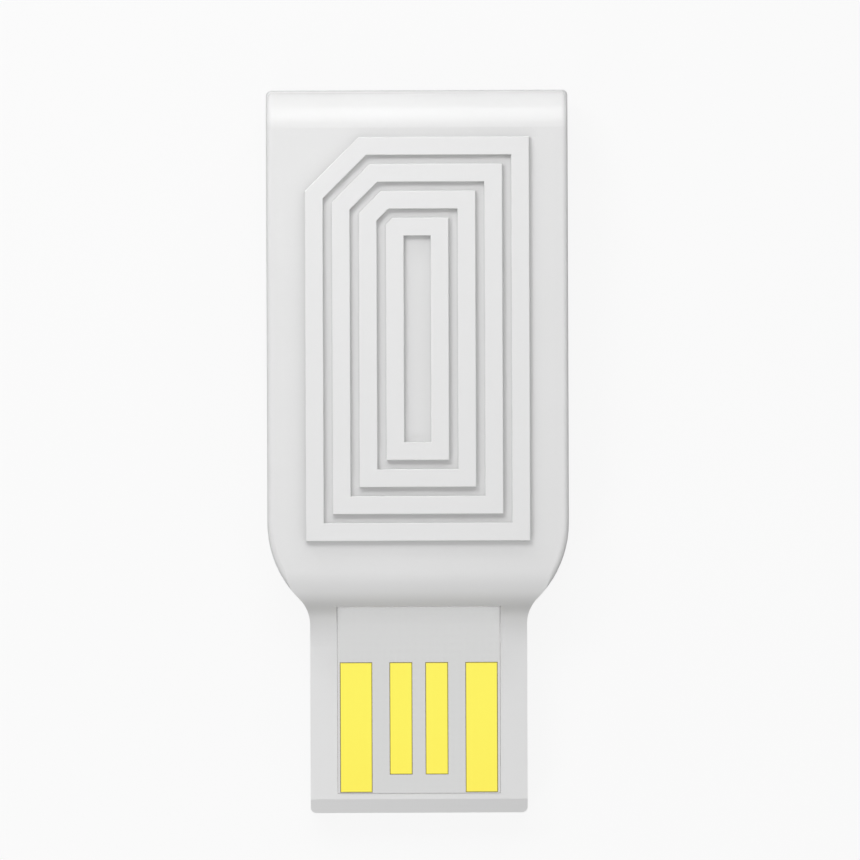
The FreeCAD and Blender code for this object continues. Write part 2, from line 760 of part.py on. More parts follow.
def box(name, length, width, height, middle_x, low_z):
    """A box centred across, with its middle at a place along its length, standing on a height."""
    block = document.addObject("Part::Box", name)
    bind(block, "Length", length)
    bind(block, "Width", width)
    bind(block, "Height", height)
    bind(block, ".Placement.Base.x", middle_x - length / 2)
    bind(block, ".Placement.Base.y", -width / 2)
    bind(block, ".Placement.Base.z", low_z)
    return block


def make_two_ended(label, kind, x, y, turned=False):
    """A ceramic block with a metal cap on each end, the caps a little proud of it."""
    length, width, height = size(kind + "_length"), size(kind + "_width"), size(kind + "_height")
    proud = size("terminal_proud")
    cap = length * size("terminal_share")
    blocks = [box(label + "_ceramic", length - proud * 2, width - proud * 2, height - proud * 2, zero, proud)]
    for name, side in (("first", -1), ("second", 1)):
        blocks.append(box("%s_%s_cap" % (label, name), cap, width, height, (length - cap) / 2 * side, zero))
    whole = document.addObject("Part::MultiFuse", label)
    whole.Label = label
    whole.Shapes = blocks
    set_down(whole, x, y, turned)


def make_flat_chip(label, length, width, height, all_round, x, y, turned=False):
    """A leadless chip: a flat block on rows of lands, with a dimple at its first corner."""
    body = new_body(label)
    land = size("land_height")
    block = draw_rectangle(body, label + "_block", land, -length / 2, length / 2, -width / 2, width / 2)
    pad(body, block, label + "_moulding", height - land)
    dimple = Drawing(body, label + "_dimple", offset=height)
    dimple.circle(size("dimple_diameter") - length / 2, width / 2 - size("dimple_diameter"),
                  size("dimple_diameter"))
    pocket(body, dimple, label + "_mark", size("dimple_depth"))

    # As many lands as stay clear of those round the corner
    lands = Drawing(body, label + "_lands")
    half_land = size("land_width") / 2
    room = length - size("land_length") * 2 - size("land_width")
    last = int(room.value / size("land_pitch").value)
    for index in range(last + 1):
        middle = size("land_pitch") * (index - last / 2)
        for side in (-1, 1):
            edge_y = sorted((width / 2 * side, (width / 2 - size("land_length")) * side), key=worth)
            lands.rectangle(middle - half_land, middle + half_land, *edge_y)
            if all_round:
                edge_x = sorted((length / 2 * side, (length / 2 - size("land_length")) * side), key=worth)
                lands.rectangle(*edge_x, middle - half_land, middle + half_land)
    pad(body, lands, label + "_terminals", land)
    set_down(body, x, y, turned)


def make_leaded_chip(label, near_leads, far_leads, x, y, turned=False):
    """A small chip with bent leads along two sides and drafted faces above and below them."""
    body = new_body(label)
    lift = size("leaded_lift")
    middle_z = lift + (size("leaded_height") - lift) / 2
    for name, downward in (("upper", False), ("lower", True)):
        half = draw_rectangle(body, "%s_%s_outline" % (label, name), middle_z,
                              -size("leaded_length") / 2, size("leaded_length") / 2,
                              -size("leaded_width") / 2, size("leaded_width") / 2)
        feature = pad(body, half, "%s_%s_half" % (label, name), (size("leaded_height") - lift) / 2, downward)
        bind(feature, "TaperAngle", -size("leaded_draft"))

    thickness = size("lead_thickness")
    toe = size("leaded_width") / 2 + size("lead_reach")
    heel = toe - size("lead_foot")
    root = size("leaded_width") / 2 - thickness * 2
    corners = [(root, middle_z - thickness / 2), (heel - thickness, middle_z - thickness / 2),
               (heel - thickness, zero), (toe, zero), (toe, thickness), (heel, thickness),
               (heel, middle_z + thickness / 2), (root, middle_z + thickness / 2)]
    for name, side, leads in (("near", -1, near_leads), ("far", 1, far_leads)):
        spacing = size("lead_pitch") * (2 if leads == 2 else 1)
        first_x = spacing * ((1 - leads) / 2) - size("lead_width") / 2
        profile = Drawing(body, "%s_%s_lead" % (label, name), "YZ_Plane", first_x)
        profile.polygon([(y * side, z) for y, z in corners])
        lead = pad(body, profile, "%s_%s_bent_lead" % (label, name), size("lead_width"))
        row = body.newObject("PartDesign::LinearPattern", "%s_%s_lead_row" % (label, name))
        row.Originals = [lead]
        row.Direction = (origin_feature(body, "X_Axis"), [""])
        row.Mode = "Spacing"
        bind(row, "Offset", spacing)
        row.Occurrences = leads
        body.Tip = row
    set_down(body, x, y, turned)


def make_crystal(label, x, y, turned=False):
    """A ceramic base with a metal lid whose corners and upper edge are rounded."""
    body = new_body(label)
    half_length, half_width = size("crystal_length") / 2, size("crystal_width") / 2
    base = draw_rectangle(body, label + "_base_outline", zero, -half_length, half_length,
                          -half_width, half_width)
    pad(body, base, label + "_base", size("crystal_base_height"))
    inset = size("crystal_lid_inset")
    lid = draw_rectangle(body, label + "_lid_outline", size("crystal_base_height"),
                         inset - half_length, half_length - inset, inset - half_width, half_width - inset)
    cap = pad(body, lid, label + "_lid", size("crystal_lid_height"))
    lid_low = size("crystal_base_height").value
    lid_top = lid_low + size("crystal_lid_height").value
    corners = round_edges(body, cap, label + "_lid_corners", size("crystal_lid_round"),
                          lambda middle, edge: lid_low < middle.z < lid_top and upright(edge))
    round_edges(body, corners, label + "_lid_edge", size("crystal_lid_height") / 2,
                lambda middle, edge: near(middle.z, lid_top))
    set_down(body, x, y, turned)


make_front_cover()
make_rear_cover()
make_circuit_board()
for contact in contacts:
    make_contact(*contact)

# The components stand in three columns along the board, those of a column with equal gaps between
# them. The left column ends at the end post's boss, and the right one begins at the neck post's.

boss_room = size("post_inset") + size("boss_diameter") / 2
left_column = [
    ("supply_bead", size("large_width")),
    ("input_capacitor", size("large_width")),
    ("voltage_regulator", size("leaded_length")),
    ("output_capacitor", size("large_width")),
    ("crystal", size("crystal_length")),
    ("crystal_load_capacitors", size("small_length")),
]
middle_column = [
    ("surge_protector", size("leaded_width") + size("lead_reach") * 2),
    ("data_resistors", size("small_length")),
    ("radio_chip", size("radio_side")),
    ("antenna_match", size("small_length")),
    ("chip_antenna", size("antenna_width")),
]
right_column = [
    ("decoupling_capacitor_1", size("small_width")),
    ("decoupling_capacitor_2", size("small_width")),
    ("decoupling_capacitor_3", size("small_width")),
    ("memory_chip", size("memory_length")),
]
along = {}
for column_name, column, low_end, high_end in (
        ("left", left_column, board_low_y, board_end_y - boss_room),
        ("middle", middle_column, board_low_y, board_end_y),
        ("right", right_column, board_low_y + boss_room, board_end_y)):
    free_length = high_end - low_end
    for standing, extent in column:
        free_length = free_length - extent
    equal_gap = place(column_name + "_gap", free_length / (len(column) + 1))
    edge_along = low_end
    for standing, extent in column:
        along[standing] = place(standing + "_along", edge_along + equal_gap + extent / 2)
        edge_along = along[standing] + extent / 2
column_side = place("column_side", board_side - size("column_inset"))
pair_side = place("pair_side", size("pair_spacing") / 2)
document.recompute()

make_two_ended("supply_bead", "large", -column_side, along["supply_bead"])
make_two_ended("input_capacitor", "large", -column_side, along["input_capacitor"])
make_leaded_chip("voltage_regulator", 3, 2, -column_side, along["voltage_regulator"], turned=True)
make_two_ended("output_capacitor", "large", -column_side, along["output_capacitor"])
make_crystal("crystal", -column_side, along["crystal"], turned=True)
make_leaded_chip("surge_protector", 3, 3, zero, along["surge_protector"])
make_flat_chip("radio_chip", size("radio_side"), size("radio_side"), size("radio_height"), True,
               zero, along["radio_chip"])
make_two_ended("chip_antenna", "antenna", zero, along["chip_antenna"])
make_flat_chip("memory_chip", size("memory_length"), size("memory_width"), size("memory_height"), False,
               column_side, along["memory_chip"], turned=True)
for capacitor in ("decoupling_capacitor_1", "decoupling_capacitor_2", "decoupling_capacitor_3"):
    make_two_ended(capacitor, "small", column_side, along[capacitor])
for left_label, right_label, middle_x, row_name in (
        ("crystal_load_capacitor_left", "crystal_load_capacitor_right", -column_side, "crystal_load_capacitors"),
        ("data_plus_resistor", "data_minus_resistor", zero, "data_resistors"),
        ("antenna_coil", "antenna_capacitor", zero, "antenna_match")):
    make_two_ended(left_label, "small", middle_x - pair_side, along[row_name], turned=True)
    make_two_ended(right_label, "small", middle_x + pair_side, along[row_name], turned=True)
document.recompute()

# Check the model, then write one file for each piece

for item in document.Objects:
    if "Invalid" in item.State or "Error" in item.State:
        raise RuntimeError("%s did not build: %s" % (item.Label, item.State))

pieces = [item for item in document.Objects if item.TypeId in ("PartDesign::Body", "Part::MultiFuse")]
os.makedirs("parts", exist_ok=True)
for piece in pieces:
    if piece.Shape.isNull() or not piece.Shape.isValid() or len(piece.Shape.Solids) != 1:
        raise RuntimeError("%s is not one sound solid" % piece.Label)
    piece.Shape.exportStep(os.path.join("parts", piece.Label + ".step"))
    print("%-32s %9.3f mm3" % (piece.Label, piece.Shape.Volume))
print("%d pieces" % len(pieces))
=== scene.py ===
from math import cos, pi, radians, sin

import bpy
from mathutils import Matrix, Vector


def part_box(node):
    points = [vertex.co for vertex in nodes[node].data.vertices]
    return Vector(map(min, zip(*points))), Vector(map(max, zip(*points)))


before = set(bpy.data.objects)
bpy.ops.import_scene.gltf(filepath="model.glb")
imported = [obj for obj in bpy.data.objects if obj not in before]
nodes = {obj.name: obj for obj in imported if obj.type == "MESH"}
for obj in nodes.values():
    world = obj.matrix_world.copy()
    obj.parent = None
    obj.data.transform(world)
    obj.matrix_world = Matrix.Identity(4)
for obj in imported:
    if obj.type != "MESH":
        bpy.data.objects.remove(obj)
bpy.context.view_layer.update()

# Slim white adapter, lying on its back and seen square on from its front.
# Metres, in the frame of the CAD: +Y runs from the plug's tip to the round end, +Z comes out of the front.

mm = 0.001
scene = bpy.context.scene
scene.view_settings.view_transform = "Standard"

mixSockets = {"first": 6, "second": 7, "result": 2}     # the Mix node's colour sockets, whose names repeat
bandWidth = 2 * pi / 20                                 # of the wave texture, at a scale of 1


def grey(value):
    return (value, value, value, 1)


class Wire:
    # one output of a node; plain Python operators add the Math nodes
    def __init__(self, tree, socket):
        self.tree = tree
        self.socket = socket

    def __add__(self, other):
        return self.tree.calculate("ADD", self, other)

    def __sub__(self, other):
        return self.tree.calculate("SUBTRACT", self, other)

    def __rsub__(self, other):
        return self.tree.calculate("SUBTRACT", other, self)

    def __mul__(self, other):
        return self.tree.calculate("MULTIPLY", self, other)

    def __abs__(self):
        return self.tree.calculate("ABSOLUTE", self)

    __radd__ = __add__
    __rmul__ = __mul__


class Tree:
    # the nodes of one material or world
    def __init__(self, owner):
        owner.use_nodes = True
        self.nodes = owner.node_tree.nodes
        self.links = owner.node_tree.links

    # any node: its settings first, then the values or links of its sockets
    def add(self, nodeType, settings=None, inputs=None, output=0):
        node = self.nodes.new("ShaderNode" + nodeType)
        for name, value in (settings or {}).items():
            setattr(node, name, value)
        for key, value in (inputs or {}).items():
            if isinstance(value, Wire):
                self.links.new(value.socket, node.inputs[key])
            else:
                node.inputs[key].default_value = value
        return Wire(self, node.outputs[output]) if node.outputs else None

    def calculate(self, operation, first, second=0.0):
        return self.add("Math", {"operation": operation}, {0: first, 1: second})

    def largest(self, first, *others):
        for other in others:
            first = self.calculate("MAXIMUM", first, other)
        return first

    def mixColours(self, factor, first, second):
        return self.add("Mix", {"data_type": "RGBA"},
                        {"Factor": factor, mixSockets["first"]: first, mixSockets["second"]: second},
                        output=mixSockets["result"])

    # 0 below low and 1 above high, with a soft step between
    def step(self, value, low, high):
        return self.add("MapRange", {"interpolation_type": "SMOOTHSTEP"},
                        {"Value": value, "From Min": low, "From Max": high})

    # place on the piece, in metres, moved so that its zero is at middle and stretched along the axes
    def place(self, middle=(0, 0, 0), stretch=(1, 1, 1)):
        shift = [-along * times for along, times in zip(middle, stretch)]
        return self.add("Mapping", None, {"Vector": self.add("TexCoord", output="Object"),
                                          "Location": shift, "Scale": stretch})

    # which way the surface looks
    def facing(self):
        return self.add("TexCoord", output="Normal")

    def axis(self, vector, name):
        return self.add("SeparateXYZ", None, {0: vector}, output=name)

    # cloudy pattern whose patches are about so many metres across, spread round 0.5
    def clouds(self, place, across, detail=2.0, rough=0.5):
        return self.add("TexNoise", None, {"Vector": place, "Scale": 1 / across, "Detail": detail,
                                           "Roughness": rough})

    # the same pattern drawn out, its patches about so many metres long on each side
    def streaks(self, sides, detail=2.0):
        longest = max(sides)
        return self.clouds(self.place(stretch=[longest / side for side in sides]), longest, detail)

    # 0 in the open, rising to about a half where two walls of the piece meet
    def innerCorner(self, reach, samples=8):
        return 1 - self.add("AmbientOcclusion", {"only_local": True, "samples": samples},
                            {"Distance": reach}, output="AO")


class Finish(Tree):
    # a material with one Principled shader; what is the same all over is set on the shader itself
    sockets = {"colour": "Base Color", "roughness": "Roughness", "metallic": "Metallic", "normal": "Normal"}

    def __init__(self, name, constants=None):
        self.material = bpy.data.materials.new(name)
        super().__init__(self.material)
        self.shader = self.nodes["Principled BSDF"]
        for socketName, value in (constants or {}).items():
            self.shader.inputs[socketName].default_value = value

    def feed(self, **wires):
        for name, wire in wires.items():
            self.links.new(wire.socket, self.shader.inputs[self.sockets[name]])

    # dents and rises of a height in metres
    def bump(self, height):
        return self.add("Bump", None, {"Height": height, "Strength": 1.0, "Distance": 1.0})

    def paint(self, *names):
        for name in names:
            nodes[name].material_slots[0].material = self.material


# Covers: white moulded plastic, fine satin from the mould, faintly rubbed where the plug slides.
# A band says where a mask begins and where it is full, and a fade is the width of its soft border.

coverPlastic = {
    "colour": grey(0.862),
    "drift": (0.850, 0.850, 0.849, 1),      # the colour's slow change over the moulding
    "driftAcross": 7 * mm,
    "driftBand": (0.35, 0.65),
    "grainInDrift": 0.2,                    # share of the grain in that change
    "grainAcross": 0.09 * mm,
    "grainHeight": 0.0002 * mm,
    "waveAcross": 2.4 * mm,                 # flow of the plastic, felt only in reflections
    "waveHeight": 0.0007 * mm,
    "roughness": 0.13,
    "roughnessDrift": 0.04,
    "rubAcross": (0.05 * mm, 3.0 * mm, 3.0 * mm),
    "rubBand": (0.56, 0.72),
    "rubDepth": 0.0004 * mm,
    "rubRoughness": 0.12,
    "plugEnd": -10.8 * mm,                  # the plug's rails lie beyond this place along Y
    "plugFade": 1.0 * mm,
    "core": grey(0.818),                    # painted shade on the floor inside the innermost ring, darker than the face
    "coreFade": 0.05 * mm,
    "ridge": grey(0.888),                   # painted highlight: the ridges' tops lighter than the face round them
    "ridgeHeight": 4.45 * mm,
    "ridgeFade": 0.05 * mm,
    "neck": grey(0.710),                    # painted shade on the neck's steep middle
    "neckSlope": (0.38, 0.72),              # band of how far it faces the plug
    "neckUpward": (0.4, 0.5),               # and of how far it faces up
    "neckEnd": -9.4 * mm,                   # place along Y, above the neck's foot, from where it comes in
    "neckFade": 0.8 * mm,
    "side": grey(0.80),                     # painted shade on the upright sides and the steep of the edges, which are also finely eroded and so rougher
    "sideUpward": (0.12, 0.5),              # how far up they face where that begins to go, and is gone
    "sideRoughness": 0.45,
    "cornerShade": grey(0.60),                     # painted shade in the inner corners of the relief
    "cornerShadeReach": 0.16 * mm,
    "cornerShadeBand": (0.05, 0.5),
    "cornerShadeAmount": 0.56,
    "softShadeReach": 1.2 * mm,                  # painted soft shade, fainter and further out from the corners
    "softShadeRise": 2.0,                        # brings the corner mask from a half up to 1
    "softShadeAmount": 0.19,
    "softShadeOutside": 0.56,                    # its strength on the left and end side of the relief and at its cut corner, where the painted shade is deeper
    "softShadeBorder": (-0.01 * mm, 0.02 * mm),  # band of how far outside the relief a place lies
}


# corners of the ridges' tops
def ridgeTops(slack=0.01 * mm):
    corners = [vertex.co for vertex in nodes["front_cover"].data.vertices]
    topHeight = max(corner.z for corner in corners)
    return [corner for corner in corners if corner.z > topHeight - slack]


# how far a place lies beyond the relief's left side, its end side or its cut corner
def beyondRelief(finish, place):
    tops = ridgeTops()
    x, y = finish.axis(place, "X"), finish.axis(place, "Y")
    pastSide = min(corner.x for corner in tops) - x
    pastEnd = y - max(corner.y for corner in tops)
    pastCut = y - x - max(corner.y - corner.x for corner in tops)
    return finish.largest(pastSide, pastEnd, pastCut)


# 1 inside the innermost ring of the relief
def insideRings(finish, place, fade):
    tops = ridgeTops()
    middle = (min(corner.x for corner in tops) + max(corner.x for corner in tops)) / 2
    halfWidth = min(abs(corner.x - middle) for corner in tops)
    ends = [corner.y for corner in tops if abs(corner.x - middle) < halfWidth + fade]
    halfway = (min(ends) + max(ends)) / 2
    halfLength = (max(ends) - min(ends)) / 2
    besideCore = finish.step(abs(finish.axis(place, "X") - middle), halfWidth, halfWidth + fade)
    beyondCore = finish.step(abs(finish.axis(place, "Y") - halfway), halfLength, halfLength + fade)
    return (1 - besideCore) * (1 - beyondCore)


# 1 on the neck's steep middle, which faces the plug; the neck's painted shade goes there
def steepNeck(finish, place, facing, look):
    slope = finish.step(0 - finish.axis(facing, "Y"), *look["neckSlope"])
    above = finish.step(finish.axis(place, "Y"), look["neckEnd"], look["neckEnd"] + look["neckFade"])
    return slope * above * finish.step(finish.axis(facing, "Z"), *look["neckUpward"])


# fine lines along the plug
def plugRub(finish, place, look):
    onPlug = 1 - finish.step(finish.axis(place, "Y"), look["plugEnd"] - look["plugFade"], look["plugEnd"])
    return finish.step(finish.streaks(look["rubAcross"], detail=1.0), *look["rubBand"]) * onPlug


# painted shade on a place: dark close in the inner corners, and a softer painted shade further round them
def paintedCornerShade(finish, place, look):
    cornerShade = finish.step(finish.innerCorner(look["cornerShadeReach"]), *look["cornerShadeBand"]) * look["cornerShadeAmount"]
    outside = finish.step(beyondRelief(finish, place), *look["softShadeBorder"])
    softShadeStrength = outside * (look["softShadeOutside"] - look["softShadeAmount"]) + look["softShadeAmount"]
    softShade = finish.innerCorner(look["softShadeReach"]) * look["softShadeRise"] * softShadeStrength
    return finish.largest(cornerShade, softShade)


def makeCoverPlastic(look):
    finish = Finish("coverPlastic", {"IOR": 1.5})
    place = finish.place()
    facing = finish.facing()
    drift = finish.clouds(place, look["driftAcross"])
    grain = finish.clouds(place, look["grainAcross"], detail=3.0, rough=0.6)
    wave = finish.clouds(place, look["waveAcross"], detail=0.0)
    rub = plugRub(finish, place, look)
    uneven = drift * (1 - look["grainInDrift"]) + grain * look["grainInDrift"]
    height = finish.axis(place, "Z")
    onRidge = finish.step(height, look["ridgeHeight"], look["ridgeHeight"] + look["ridgeFade"])
    upright = 1 - finish.step(finish.axis(facing, "Z"), *look["sideUpward"])
    # tones over the plain colour: a random drift of the plastic, then painted shade in the core, a painted
    # highlight on the ridges' tops, painted shade on the neck and on the upright sides, and painted shade
    # in and round the relief's corners
    tones = (
        (finish.step(uneven, *look["driftBand"]), "drift"),
        (insideRings(finish, place, look["coreFade"]), "core"),
        (onRidge, "ridge"),
        (steepNeck(finish, place, facing, look), "neck"),
        (upright, "side"),
        (paintedCornerShade(finish, place, look), "cornerShade"),
    )
    colour = look["colour"]
    for mask, tone in tones:
        colour = finish.mixColours(mask, colour, look[tone])
    finish.feed(colour=colour,
                roughness=(drift - 0.5) * look["roughnessDrift"] + rub * look["rubRoughness"] +
                upright * look["sideRoughness"] + look["roughness"],
                normal=finish.bump(grain * look["grainHeight"] + wave * look["waveHeight"] -
                                   rub * look["rubDepth"]))
    finish.paint("front_cover", "rear_cover")


makeCoverPlastic(coverPlastic)
print("the covers have their plastic")


# Circuit board: pale solder mask over glass cloth, bare laminate on its cut edges and round the contacts

boardLaminate = {
    "mask": (0.690, 0.691, 0.689, 1),
    "maskThread": (0.676, 0.677, 0.674, 1),   # where the glass threads show through
    "edge": (0.60, 0.57, 0.46, 1),
    "edgeLayer": (0.42, 0.399, 0.322, 1),     # darker layers in the cut edge
    "layerAcross": (0.8 * mm, 0.8 * mm, 0.1 * mm),
    "opening": (0.34, 0.27, 0.06, 1),         # round the contacts, where the mask is left off
    "openingDepth": 0.02 * mm,
    "openingFoot": (0.10 * mm, 0.09 * mm),    # how far under the top the cut edge takes over
    "threadPitch": 0.42 * mm,
    "threadHeight": 0.0015 * mm,
    "threadShare": 0.6,                       # the weave's share of the pattern; the rest is cloudy
    "cloudAcross": 0.6 * mm,
    "flatBand": (0.5, 0.8),                   # band of how far up or down it faces under the mask
    "roughness": 0.24,
    "edgeRoughness": 0.75,
    "metallic": 0.8,                          # fine bright flakes in the mask
}


# the glass threads, crossing along X and along Y, with some cloudiness
def glassCloth(finish, place, look):
    bands = {"wave_type": "BANDS", "wave_profile": "SIN"}
    warp, weft = [finish.add("TexWave", dict(bands, bands_direction=direction),
                             {"Vector": place, "Scale": bandWidth / look["threadPitch"]})
                  for direction in ("X", "Y")]
    cloudy = finish.clouds(place, look["cloudAcross"])
    return warp * weft * look["threadShare"] + cloudy * (1 - look["threadShare"])


# 1 on the floor of the mask's openings, just under the board's top
def maskOpening(finish, place, look):
    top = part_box("circuit_board")[1].z
    height = finish.axis(place, "Z")
    underMask = 1 - finish.step(height, top - look["openingDepth"], top - look["openingDepth"] / 2)
    return underMask * finish.step(height, *[top - depth for depth in look["openingFoot"]])


def makeBoardLaminate(look):
    finish = Finish("boardLaminate")
    place = finish.place()
    thread = glassCloth(finish, place, look)
    sunk = maskOpening(finish, place, look)
    flat = finish.step(abs(finish.axis(finish.facing(), "Z")), *look["flatBand"])
    covered = flat * (1 - sunk)
    edgeColour = finish.mixColours(finish.streaks(look["layerAcross"]), look["edge"], look["edgeLayer"])
    bareColour = finish.mixColours(sunk, edgeColour, look["opening"])
    maskColour = finish.mixColours(thread, look["mask"], look["maskThread"])
    finish.feed(colour=finish.mixColours(covered, bareColour, maskColour),
                metallic=covered * look["metallic"],
                roughness=covered * (look["roughness"] - look["edgeRoughness"]) + look["edgeRoughness"],
                normal=finish.bump(thread * look["threadHeight"]))
    finish.paint("circuit_board")


makeBoardLaminate(boardLaminate)
print("the board has its solder mask")


# Contacts: bright gold plating, with the fine lengthwise scores of a plug that has been in and out

contactGold = {
    "colour": (0.990, 0.902, 0.128, 1),
    "warm": (0.985, 0.850, 0.112, 1),
    "warmFrom": -14 * mm,                   # along Y, towards the plug's tip
    "warmTo": -19.5 * mm,
    "warmAtTip": 0.5,
    "warmMottle": 0.3,
    "scored": (0.965, 0.870, 0.121, 1),
    "scoreAcross": (0.03 * mm, 2.5 * mm, 2.5 * mm),
    "scoreBand": (0.55, 0.75),
    "scoreAmount": 0.35,
    "scoreDepth": 0.0003 * mm,
    "scoreRoughness": 0.12,
    "mottleAcross": 0.5 * mm,
    "mottleHeight": 0.0002 * mm,
    "mottleRoughness": 0.06,
    "metallic": 0.88,
    "roughness": 0.32,
}


def makeContactGold(look):
    finish = Finish("contactGold", {"Metallic": look["metallic"]})
    place = finish.place()
    score = finish.step(finish.streaks(look["scoreAcross"]), *look["scoreBand"])
    mottle = finish.clouds(place, look["mottleAcross"])
    nearTip = 1 - finish.step(finish.axis(place, "Y"), look["warmTo"], look["warmFrom"])
    warmth = nearTip * look["warmAtTip"] + mottle * look["warmMottle"]
    plating = finish.mixColours(warmth, look["colour"], look["warm"])
    finish.feed(colour=finish.mixColours(score * look["scoreAmount"], plating, look["scored"]),
                roughness=score * look["scoreRoughness"] + mottle * look["mottleRoughness"] +
                look["roughness"],
                normal=finish.bump(mottle * look["mottleHeight"] - score * look["scoreDepth"]))
    finish.paint("contact_power", "contact_data_minus", "contact_data_plus", "contact_ground")


makeContactGold(contactGold)
print("the contacts have their gold")


# Components on the board, each with a finish of its own so that its metal ends fall where they should

tin = {
    "colour": (0.66, 0.66, 0.64, 1),
    "dull": (0.50, 0.50, 0.49, 1),
    "dullAcross": 0.12 * mm,
    "dullRoughness": 0.1,
    "grainAcross": 0.03 * mm,
    "grainHeight": 0.001 * mm,
    "roughness": 0.32,
    "fade": 0.01 * mm,                      # width of the line between metal and body
}

ceramic = {
    "capShare": 0.22,                       # share of the length that each metal cap takes
    "speckAcross": 0.05 * mm,
    "speckBand": (0.5, 0.7),
}

ceramicKinds = {
    "capacitor": {"colour": (0.56, 0.42, 0.30, 1), "speck": (0.46, 0.33, 0.23, 1), "roughness": 0.5},
    "resistor": {"colour": (0.05, 0.05, 0.055, 1), "speck": (0.09, 0.09, 0.10, 1), "roughness": 0.3},
    "antenna": {"colour": (0.82, 0.80, 0.74, 1), "speck": (0.74, 0.72, 0.66, 1), "roughness": 0.55},
}

ceramicPieces = {
    "capacitor": ("input_capacitor", "output_capacitor", "crystal_load_capacitor_left",
                  "crystal_load_capacitor_right", "decoupling_capacitor_1", "decoupling_capacitor_2",
                  "decoupling_capacitor_3", "antenna_capacitor", "antenna_coil"),
    "resistor": ("supply_bead", "data_minus_resistor", "data_plus_resistor"),
    "antenna": ("chip_antenna",),
}

chipResin = {
    "colour": (0.030, 0.030, 0.032, 1),
    "speck": (0.055, 0.055, 0.058, 1),
    "speckAcross": 0.04 * mm,
    "speckBand": (0.5, 0.7),
    "roughness": 0.62,
    "landHeight": 0.05 * mm,                # metal lands under a chip without leads
    "leadReach": 0.6 * mm,                  # how far leads stand out from a chip that has them
}

crystalCase = {
    "colour": (0.16, 0.13, 0.12, 1),
    "speck": (0.22, 0.19, 0.17, 1),
    "speckAcross": 0.05 * mm,
    "roughness": 0.6,
    "lidHeight": 0.2 * mm,
}


# The next four give 1 where a component is metal. They take places from its middle, and its side lengths.

# caps on the ends of the long side
def caps(finish, place, sides, look):
    longAxis = "X" if sides.x > sides.y else "Y"
    start = max(sides.x, sides.y) / 2 * (1 - 2 * look["capShare"])
    return finish.step(abs(finish.axis(place, longAxis)), start - tin["fade"], start)


# leads that stand out along the shorter side
def leads(finish, place, sides, look):
    leadAxis = "X" if sides.x < sides.y else "Y"
    start = min(sides.x, sides.y) / 2 - look["leadReach"]
    return finish.step(abs(finish.axis(place, leadAxis)), start, start + tin["fade"])


# lands at the foot
def lands(finish, place, sides, look):
    top = look["landHeight"] - sides.z / 2
    return 1 - finish.step(finish.axis(place, "Z"), top - tin["fade"], top)


# a lid on top
def lid(finish, place, sides, look):
    foot = sides.z / 2 - look["lidHeight"]
    return finish.step(finish.axis(place, "Z"), foot - tin["fade"], foot)


def makeComponent(name, metalPart, look):
    low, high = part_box(name)
    finish = Finish(name + "_finish")
    place = finish.place(middle=(low + high) / 2)
    metal = metalPart(finish, place, high - low, look)
    speck = finish.clouds(place, look["speckAcross"], detail=3.0)
    if "speckBand" in look:
        speck = finish.step(speck, *look["speckBand"])
    body = finish.mixColours(speck, look["colour"], look["speck"])
    dull = finish.clouds(place, tin["dullAcross"], detail=3.0)
    plating = finish.mixColours(dull, tin["colour"], tin["dull"])
    grain = finish.clouds(place, tin["grainAcross"])
    finish.feed(colour=finish.mixColours(metal, body, plating),
                metallic=metal,
                roughness=metal * (tin["roughness"] - look["roughness"]) +
                dull * tin["dullRoughness"] + look["roughness"],
                normal=finish.bump(grain * tin["grainHeight"]))
    finish.paint(name)


for kind, pieceNames in ceramicPieces.items():
    for pieceName in pieceNames:
        makeComponent(pieceName, caps, {**ceramic, **ceramicKinds[kind]})
for pieceName in ("radio_chip", "memory_chip"):
    makeComponent(pieceName, lands, chipResin)
for pieceName in ("surge_protector", "voltage_regulator"):
    makeComponent(pieceName, leads, chipResin)
makeComponent("crystal", lid, crystalCase)
print("the components have their finishes")


# Floor and world. The camera and reflections see a pale backdrop; the floor keeps part of the shadow.

studio = {
    "floorSide": 2.0,
    "backdrop": 0.975,        # brightness of floor and world as they are seen
    "floorGlow": 0.92,        # share of the seen floor that no shadow reaches
    "mirroredGlow": 0.25,     # the same share where the floor shows in a reflection
    "floorPaper": 0.88,       # the floor's own colour where it is seen
    "floorBounce": 0.12,      # and what it throws back at the object
    "fibre": 0.8,             # its fibres
    "fibreAmount": 0.06,
    "fibreAcross": 0.8 * mm,
    "ambient": 0.262,         # soft light from all round
}


# 1 for what the camera sees: directly, and directly or else mirrored or through something
def seenByCamera(tree):
    direct = tree.add("LightPath", output="Is Camera Ray")
    mirrored = tree.add("LightPath", output="Is Glossy Ray")
    through = tree.add("LightPath", output="Is Transmission Ray")
    return direct, tree.largest(direct, mirrored, through)


def makeFloor(look):
    bpy.ops.object.select_all(action="DESELECT")
    bpy.ops.mesh.primitive_plane_add(size=look["floorSide"], location=(0, 0, 0))
    floor = bpy.context.object
    floor.name = "floor"
    paper = bpy.data.materials.new("floorPaper")
    tree = Tree(paper)
    tree.nodes.clear()
    direct, seen = seenByCamera(tree)
    fibres = tree.clouds(tree.add("TexCoord", output="Object"), look["fibreAcross"], detail=4.0)
    plain = tree.mixColours(seen, grey(look["floorBounce"]), grey(look["floorPaper"]))
    fibrous = tree.mixColours(fibres * look["fibreAmount"], plain, grey(look["fibre"]))
    matt = tree.add("BsdfDiffuse", None, {"Color": fibrous})
    glow = tree.add("Emission", None, {"Color": grey(look["backdrop"])})
    share = direct * look["floorGlow"] + (seen - direct) * look["mirroredGlow"]
    mixed = tree.add("MixShader", None, {0: share, 1: matt, 2: glow})
    tree.add("OutputMaterial", None, {"Surface": mixed})
    floor.data.materials.append(paper)


